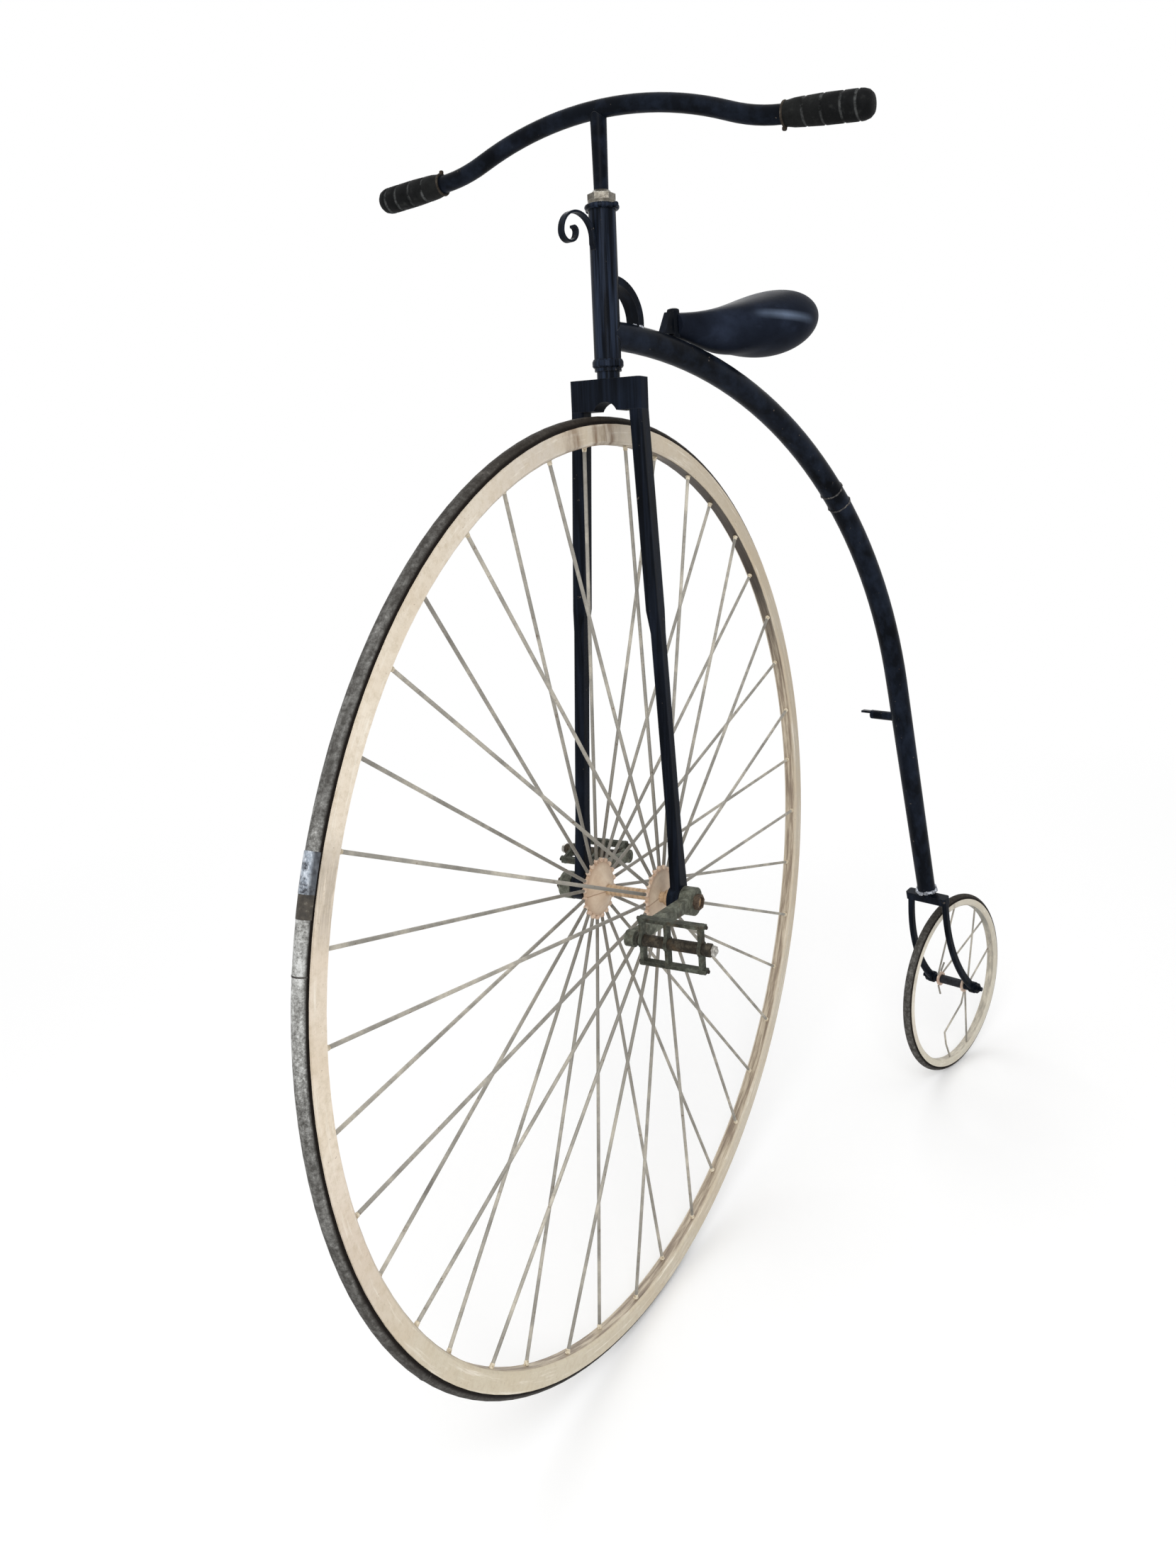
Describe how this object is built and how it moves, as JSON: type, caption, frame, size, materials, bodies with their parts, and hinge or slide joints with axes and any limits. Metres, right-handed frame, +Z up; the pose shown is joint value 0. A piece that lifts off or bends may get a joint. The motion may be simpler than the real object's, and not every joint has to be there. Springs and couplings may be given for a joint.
{
  "type": "penny farthing bicycle",
  "caption": "High-wheel bicycle: large spoked driving wheel with cranks and pedals, raked head, curved backbone, moulded saddle and a small trailing wheel.",
  "frame": {"origin": "the point on top of the saddle where the rider sits", "axes": "+Z up, the bicycle faces -X, +Y is the rider's right; the fork and front wheel stand turned 15.2 degrees to the rider's left at rest"},
  "size_m": [1.6774, 0.708, 1.6766],
  "materials": {
    "grey_tyre": "worn solid grey rubber",
    "cream_enamel": "aged cream paint over steel",
    "spoke_wire": "cream paint worn to grey wire",
    "flange_metal": "aged cream paint over cast metal",
    "bare_steel": "dull bare steel",
    "crank_iron": "weathered dark paint",
    "pedal_iron": "weathered grey green paint",
    "rusty_nut": "rust brown",
    "black_paint": "glossy blue black paint, chipped",
    "black_grip": "hard black moulded grip",
    "black_seat": "hard polished black"
  },
  "bodies": {
    "frame": {"head_tube": "black_paint", "head_cap_ring": "black_paint", "head_scroll": "black_paint", "head_brace": "black_paint", "backbone": "black_paint", "step_peg": "black_paint", "saddle": "black_seat", "saddle_bracket": "black_paint", "saddle_bolt": "black_paint", "rear_crown": "black_paint", "rear_leg_left": "black_paint", "rear_leg_right": "black_paint", "rear_axle": "bare_steel", "rear_axle_nuts": "rusty_nut"},
    "steering": {"fork_leg_left": "black_paint", "fork_leg_right": "black_paint", "fork_crown": "black_paint", "steerer": "black_paint", "lock_nut": "bare_steel", "handlebar_stem": "black_paint", "handlebar": "black_paint", "grip_left": "black_grip", "grip_right": "black_grip"},
    "front_wheel": {"front_tyre": "grey_tyre", "front_rim": "cream_enamel", "front_spokes_left": "spoke_wire", "front_spokes_right": "spoke_wire", "hub_flange_left": "flange_metal", "hub_flange_right": "flange_metal", "front_axle": "bare_steel", "crank_left": "crank_iron", "crank_right": "crank_iron", "crank_nuts": "rusty_nut", "pedal_pin_left": "crank_iron", "pedal_pin_right": "crank_iron"},
    "left_pedal": {"pedal_barrel_left": "crank_iron", "pedal_cage_left": "pedal_iron"},
    "right_pedal": {"pedal_barrel_right": "crank_iron", "pedal_cage_right": "pedal_iron"},
    "rear_wheel": {"rear_tyre": "grey_tyre", "rear_rim": "cream_enamel", "rear_spokes": "spoke_wire", "rear_hub": "black_paint"}
  },
  "joints": [
    {"name": "steering", "type": "hinge", "parent": "frame", "child": "steering", "pos_m": [-0.335, 0, -0.805], "axis": [0.0523, 0, 0.9986], "range_deg": [-60.2, 29.8]},
    {"name": "front_wheel_spin", "type": "hinge", "parent": "steering", "child": "front_wheel", "pos_m": [-0.335, 0, -0.805], "axis": [-0.2618, 0.965, 0.0137], "continuous": true},
    {"name": "left_pedal_spin", "type": "hinge", "parent": "front_wheel", "child": "left_pedal", "pos_m": [-0.49469, -0.04351, -0.79228], "axis": [-0.2618, 0.965, 0.0137], "continuous": true},
    {"name": "right_pedal_spin", "type": "hinge", "parent": "front_wheel", "child": "right_pedal", "pos_m": [-0.17531, 0.04351, -0.81772], "axis": [-0.2618, 0.965, 0.0137], "continuous": true},
    {"name": "rear_wheel_spin", "type": "hinge", "parent": "frame", "child": "rear_wheel", "pos_m": [0.54173, 0, -1.276], "axis": [0, 1, 0], "continuous": true}
  ]
}
